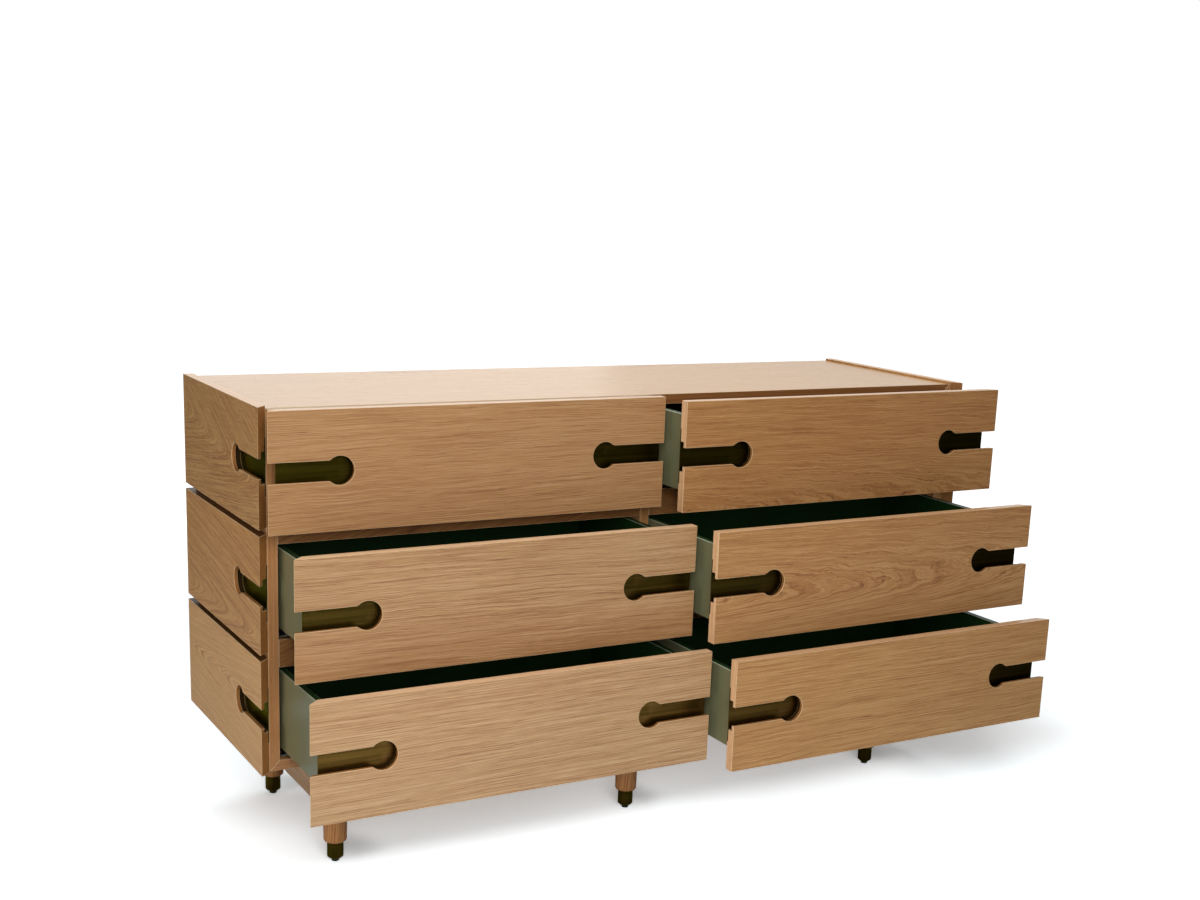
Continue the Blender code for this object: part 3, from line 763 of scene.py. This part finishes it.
def carved(shape, cutter):
    # one bmesh with another cut out of it, as a new bmesh
    things = [bpy.data.objects.new("loose", asMesh("loose", part)) for part in (shape, cutter)]
    for thing in things:
        parts.objects.link(thing)
    cut = things[0].modifiers.new("cut", "BOOLEAN")
    cut.operation = "DIFFERENCE"
    cut.solver = "EXACT"
    cut.object = things[1]
    ready = things[0].evaluated_get(bpy.context.evaluated_depsgraph_get())
    mesh = bpy.data.meshes.new_from_object(ready)
    made = bmesh.new()
    made.from_mesh(mesh)
    for spent in (mesh, *(thing.data for thing in things)):
        bpy.data.meshes.remove(spent)
    return made


head = bmesh.new()
spinProfile(head, screwLook["head"], steps=20)
length, width, depth = screwLook["recess"]
top = screwLook["head"][0][1]
for x, y in ((length / 2, width / 2), (width / 2, length / 2)):
    blade = bmesh.new()
    addBox(blade, (-x, -y, top - depth), (x, y, top + past))
    head = carved(head, blade)
screwHead = asMesh("screwHead", head)

clip = bmesh.new()
size = Vector(clipLook["size"])
addBox(clip, (0.0, 0.0, -size.z), (size.x, size.y, 0.0))
easeEdges(clip, clipLook["ease"])
hollows = bmesh.new()
inset, width, length, depth = clipLook["thumb"]
start = size.x - inset
addBox(hollows, (start, -past, -size.z - past), (start + width, length, -size.z + depth))
start, length, width, depth = clipLook["groove"]
count, first, pitch = clipLook["grooves"]
for place in [first + step * pitch for step in range(count)]:
    addBox(hollows, (start, place, -size.z - past), (start + length, place + width, -size.z + depth))
lockingClip = asMesh("lockingClip", carved(clip, hollows))

dome = bmesh.new()
spinProfile(dome, bumperLook["dome"], steps=28)
bumperDome = asMesh("bumperDome", dome)


def facing(axis, sign):
    # turns a fixing whose head looks up so that it looks along an axis
    target = Vector([sign if name == axis else 0.0 for name in "xyz"])
    return target.to_track_quat("Z", "Y").to_matrix().to_4x4()


def fixings(name, pattern, places, finish, body):
    shape = bmesh.new()
    for spot, turn in places:
        stamp(shape, pattern, Matrix.Translation(spot) @ turn)
    shadeByAngle(shape, sharpCorner)
    finishPiece(name, shape, [finish], body)


for side, row in drawers:
    body = bodyOf[f"drawer_box_{side}_{row}"]
    frontLow, frontHigh = cornersOf(f"drawer_front_{side}_{row}")
    boxLow, boxHigh = cornersOf(f"drawer_box_{side}_{row}")
    wallIn = boxLow.y + boxLook["wall"]
    screws = []
    for share in screwLook["frontShares"]:
        across = boxLow.x + (boxHigh.x - boxLow.x) * share
        for level in screwLook["frontLevels"]:
            screws.append((Vector((across, wallIn, frontLow.z + level)), facing("y", 1)))
    fixings(f"front_screws_{side}_{row}", screwHead, screws, runnerZinc, body)
    under = frontLow.z + boxLook["underside"] - clipLook["under"]
    clips = []
    for across, way in ((boxLow.x + clipLook["inset"], 1.0), (boxHigh.x - clipLook["inset"], -1.0)):
        spot = Vector((across, wallIn + clipLook["behind"], under))
        clips.append((spot, Matrix.Diagonal((way, 1.0, 1.0, 1.0))))
    fixings(f"locking_clips_{side}_{row}", lockingClip, clips, paints["clipGrey"], body)
    insets = bumperLook["insets"] if side == "right" else bumperLook["insets"][::-1]
    pads = []
    for across in (frontLow.x + insets[0], frontHigh.x - insets[1]):
        for level in bumperLook["levels"]:
            pads.append((Vector((across, frontHigh.y, frontLow.z + level)), facing("y", 1)))
    fixings(f"bumpers_{side}_{row}", bumperDome, pads, paints["bumperRubber"], body)

screws = []
for side in sides:
    for row in rows:
        low, high = cornersOf(f"runner_{side}_{row}")
        sheet = screwLook["runnerSheet"]
        across, way = (low.x + sheet, 1) if side == "left" else (high.x - sheet, -1)
        for along in screwLook["runnerPlaces"]:
            spot = Vector((across, low.y + along, low.z + screwLook["runnerLevel"]))
            screws.append((spot, facing("x", way)))
fixings("runner_screws", screwHead, screws, runnerZinc, "case")

low, high = cornersOf("back_panel")
inset = screwLook["backInset"]
gaps = screwLook["backColumns"] - 1
spots = []
for across in [low.x + inset + (high.x - low.x - 2 * inset) * step / gaps for step in range(gaps + 1)]:
    spots += [(across, low.z + inset), (across, high.z - inset)]
for level in [low.z + (high.z - low.z) * share for share in screwLook["backShares"]]:
    spots += [(across, level) for across in (low.x + inset, (low.x + high.x) / 2, high.x - inset)]
screws = [(Vector((across, high.y, level)), facing("y", 1)) for across, level in spots]
fixings("back_screws", screwHead, screws, runnerZinc, "case")
for mesh in (stub, screwHead, lockingClip, bumperDome):
    bpy.data.meshes.remove(mesh)
print("fixings fitted")

# floor, light and camera; a pair of places says where a patch begins and where it is full, in metres
stageLook = {
    "paper": (0.930, 1.0, 1.04),
    "rightPaper": (0.985, 1.0, 1.01),
    "floor": 0.80,
    "floorSeen": 2.0,  # what the camera sees, so that only the deep part of the shadow shows
    "glow": {"least": 0.28, "away": (1.3, 3.2)},
    # painted shadow: the floor's camera-only glow paints the shadow paler before the case and under its
    # middle, and deeper to the right
    "before": {"share": 0.30, "back": (0.02, -0.12)},
    "middle": {"share": 0.07, "across": ((-0.30, 0.20), (0.75, 0.60))},
    "right": {
        "share": 0.22, "across": ((0.60, 0.90), (1.35, 1.10)), "back": ((-0.22, -0.04), (0.50, 0.20)),
    },
    # a painted contact shadow beside each foot
    "foot": {"aside": (0.050, 0.050), "reach": 0.08, "depth": 0.38},
    "world": 0.06,
}


def floorPaper(name):
    before, middle, right, foot = (stageLook[part] for part in ("before", "middle", "right", "foot"))
    paper = bpy.data.materials.new(name)
    paper.use_nodes = True
    paper.node_tree.nodes.clear()
    seen = Wire(paper.node_tree).node("ShaderNodeLightPath", out="Is Camera Ray")
    spot = seen.node("ShaderNodeTexCoord", out="Object")
    split = spot.node("ShaderNodeSeparateXYZ", None, {0: spot}).socket.node.outputs
    across, back = (Wire(paper.node_tree, socket) for socket in split[:2])
    # the patch where the shadow is painted deeper, to the right of the case
    toRight = across.between(*right["across"][0])
    patch = toRight * across.between(*right["across"][1])
    for limits in right["back"]:
        patch = patch * back.between(*limits)
    # a painted contact shadow: a soft dark spot beside each foot, darkening both the paper and its glow
    paintedFootShadows = 1.0
    for end in footRows:
        for column in columns:
            low, high = cornersOf(f"ferrule_{end}_{column}")
            centre = (low + high) / 2
            beside = (centre.x + foot["aside"][0], centre.y + foot["aside"][1], 0.0)
            away = spot.node("ShaderNodeVectorMath", {"operation": "DISTANCE"}, {0: spot, 1: beside}, 1)
            paintedFootShadows = (1.0 - away.between(foot["reach"], 0.0) * foot["depth"]) * paintedFootShadows
    level = seen * (stageLook["floorSeen"] - stageLook["floor"]) + stageLook["floor"]
    tint = patch.mixed(stageLook["paper"], stageLook["rightPaper"])
    matt = seen.node("ShaderNodeBsdfDiffuse", None, {"Color": (level * paintedFootShadows).shading(tint)})
    least = stageLook["glow"]["least"]
    distance = spot.node("ShaderNodeVectorMath", {"operation": "LENGTH"}, {0: spot}, 1)
    whiter = distance.between(*stageLook["glow"]["away"]) * (1.0 - least) + least
    # these patches paint the shadow paler before the case and under its middle, and deeper to the right
    whiter = whiter + back.between(*before["back"]) * (1.0 - toRight) * before["share"]
    begins, stops = (across.between(*limits) for limits in middle["across"])
    whiter = whiter + begins * stops * middle["share"]
    whiter = (whiter - patch * right["share"]) * paintedFootShadows
    glow = seen.node("ShaderNodeEmission", None, {"Strength": seen * whiter})
    both = seen.node("ShaderNodeAddShader", None, {0: matt, 1: glow})
    both.node("ShaderNodeOutputMaterial", None, {"Surface": both})
    return paper


floorShape = bmesh.new()
bmesh.ops.create_grid(floorShape, x_segments=1, y_segments=1, size=40.0)
floorMesh = asMesh("floor", floorShape)
floorMesh.materials.append(floorPaper("floorPaper"))
floor = bpy.data.objects.new("floor", floorMesh)
bpy.context.scene.collection.objects.link(floor)

world = bpy.data.worlds.new("studio")
world.use_nodes = True
bpy.context.scene.world = world
background = world.node_tree.nodes["Background"]
white = Wire(world.node_tree).node("ShaderNodeLightPath", out="Is Camera Ray")
for kind in ("Is Glossy Ray", "Is Transmission Ray"):
    white = white.maths("MAXIMUM", white, white.node("ShaderNodeLightPath", out=kind))
strength = white * (1.0 - stageLook["world"]) + stageLook["world"]
world.node_tree.links.new(strength.socket, background.inputs["Strength"])
background.inputs["Color"].default_value = rgba((1.0, 1.0, 1.0))

lampLook = {
    "key": {"place": (-1.25, -2.50, 1.65), "aim": (-0.25, -0.20, 0.30), "size": 1.5, "power": 68.0},
    "overhead": {"place": (0.10, 0.40, 2.50), "aim": (0.10, 0.30, 0.00), "size": 2.0, "power": 26.0},
    "leftFill": {"place": (-3.00, -0.50, 0.30), "aim": (-0.76, 0.15, 0.35), "size": 1.0, "power": 18.0},
    "backdrop": {
        "place": (0.20, 3.20, 1.90), "aim": (-0.40, 0.00, 0.84), "size": 3.0, "power": 12.0,
        "shineOnly": True,  # seen in reflections alone
    },
}
for name, look in lampLook.items():
    lamp = bpy.data.lights.new(f"{name}Lamp", "AREA")
    lamp.shape = "SQUARE"
    lamp.size = look["size"]
    lamp.energy = look["power"]
    holder = bpy.data.objects.new(f"{name}Lamp", lamp)
    holder.location = look["place"]
    holder.rotation_euler = (Vector(look["aim"]) - Vector(look["place"])).to_track_quat("-Z", "Y").to_euler()
    holder.visible_camera = False
    holder.visible_diffuse = not look.get("shineOnly", False)
    bpy.context.scene.collection.objects.link(holder)

cameraLook = {
    "place": (-1.551, -2.6251, 1.233),
    "turn": (76.734, -2.385, -30.488),
    "lens": 47.81,
    "film": 36.0,
    "shift": (-0.0353, 0.0899),
}
lens = bpy.data.cameras.new("camera")
lens.lens = cameraLook["lens"]
lens.sensor_width = cameraLook["film"]
lens.shift_x, lens.shift_y = cameraLook["shift"]
camera = bpy.data.objects.new("camera", lens)
camera.location = cameraLook["place"]
camera.rotation_euler = Euler([math.radians(value) for value in cameraLook["turn"]])
bpy.context.scene.collection.objects.link(camera)
bpy.context.scene.camera = camera
bpy.context.scene.view_settings.view_transform = "Standard"
